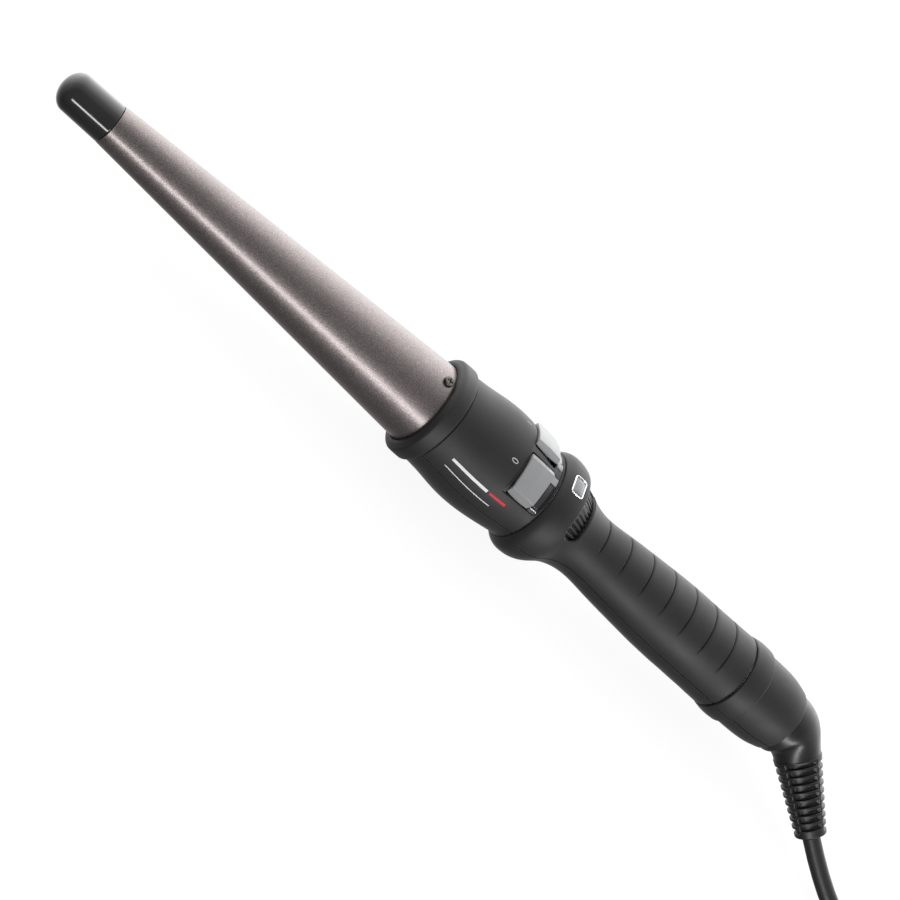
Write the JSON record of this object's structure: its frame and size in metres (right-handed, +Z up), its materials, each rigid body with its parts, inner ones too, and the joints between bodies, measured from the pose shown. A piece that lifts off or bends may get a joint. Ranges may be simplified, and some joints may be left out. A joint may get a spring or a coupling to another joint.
{
  "type": "conical curling wand",
  "caption": "Conical hair curling wand with a tapered heated barrel, press keys, a thermostat ring in the neck, a ribbed grip and a swivel mains cord put away in a tied hank.",
  "frame": {"origin": "under the middle of the wand, from the tip to the rear opening of the handle, on the surface that the bulge rests on", "axes": "+X along the wand from the barrel's tip to the handle, +Z up through the indicator and between the keys"},
  "size_m": [0.6312, 0.0729, 0.0424],
  "materials": {
    "barrel_coating": "satin titanium-coloured ceramic coating with a fine speckle",
    "gloss_black": "glossy black heat-resistant plastic",
    "matte_black": "matte soft-touch black plastic",
    "key_grey": "satin light grey plastic",
    "dark_window": "glossy smoked window",
    "chrome": "polished chrome plating",
    "lens": "frosted indicator lens",
    "dial_black": "fine-textured black plastic",
    "aluminium": "cast aluminium",
    "ceramic": "fired ceramic",
    "phenolic": "heat-resistant moulding",
    "steel": "zinc-plated steel",
    "brass": "brass",
    "board": "glass-fibre circuit board",
    "component": "moulded component bodies",
    "lamp": "red LED",
    "lead_red": "insulated leads",
    "cord_black": "black flexible cord jacket and mouldings",
    "plug_metal": "nickel-plated brass pins",
    "tie": "woven hook-and-loop tie"
  },
  "bodies": {
    "handle": {"tip_cap": "gloss_black", "barrel_tube": "barrel_coating", "barrel_bush": "phenolic", "barrel_screws": "steel", "heater_block_upper": "aluminium", "heater_block_lower": "aluminium", "ceramic_heater": "ceramic", "electrode_strips": "brass", "temperature_sensor": "component", "sensor_leads": "lead_red", "heater_leads": "lead_red", "thermal_fuse": "steel", "collar_ring": "matte_black", "body_upper": "matte_black", "body_lower": "matte_black", "case_screws": "steel", "switch_frame": "gloss_black", "status_windows": "dark_window", "trim_strips": "chrome", "tact_switch_off": "component", "tact_switch_on": "component", "switch_bracket": "component", "handle_upper": "matte_black", "handle_lower": "matte_black", "indicator_bezel": "chrome", "indicator_lens": "lens", "indicator_lamp": "lamp", "dial_carrier": "component", "resistor_track": "board", "circuit_board": "board", "triac": "component", "film_capacitor": "component", "electrolytic_capacitor": "aluminium", "control_chip": "component", "board_connector": "ceramic", "supply_leads": "lead_red", "rear_upper": "matte_black", "rear_lower": "matte_black", "swivel_bush": "component", "brush_holder": "component", "contact_brushes": "brass"},
    "off_key": {"key_off": "key_grey", "plunger_off": "component"},
    "on_key": {"key_on": "key_grey", "plunger_on": "component"},
    "thermostat": {"thermostat_ring": "dial_black", "dial_wiper": "brass"},
    "swivel": {"swivel_elbow": "gloss_black", "slip_rings": "brass", "strain_relief": "cord_black", "cord_lead": "cord_black", "cord_tail": "cord_black", "cord_hank": "cord_black", "cord_tie": "tie", "plug_body": "cord_black", "plug_relief": "cord_black", "plug_pins": "plug_metal"}
  },
  "joints": [
    {"name": "off_key_press", "type": "slide", "parent": "handle", "child": "off_key", "axis": [0, 0.4962, -0.8682], "range_m": [0, 0.0012], "stiffness_N_per_m": 1500, "springref_m": -0.0005},
    {"name": "on_key_press", "type": "slide", "parent": "handle", "child": "on_key", "axis": [0, -0.4962, -0.8682], "range_m": [0, 0.0012], "stiffness_N_per_m": 1500, "springref_m": -0.0005},
    {"name": "thermostat_turn", "type": "hinge", "parent": "handle", "child": "thermostat", "pos_m": [0.05275, 0, 0.0211], "axis": [1, 0, 0], "range_deg": [-37.5, 37.5]},
    {"name": "cord_swivel", "type": "hinge", "parent": "handle", "child": "swivel", "pos_m": [0.16675, 0, 0.0211], "axis": [1, 0, 0], "continuous": true}
  ]
}
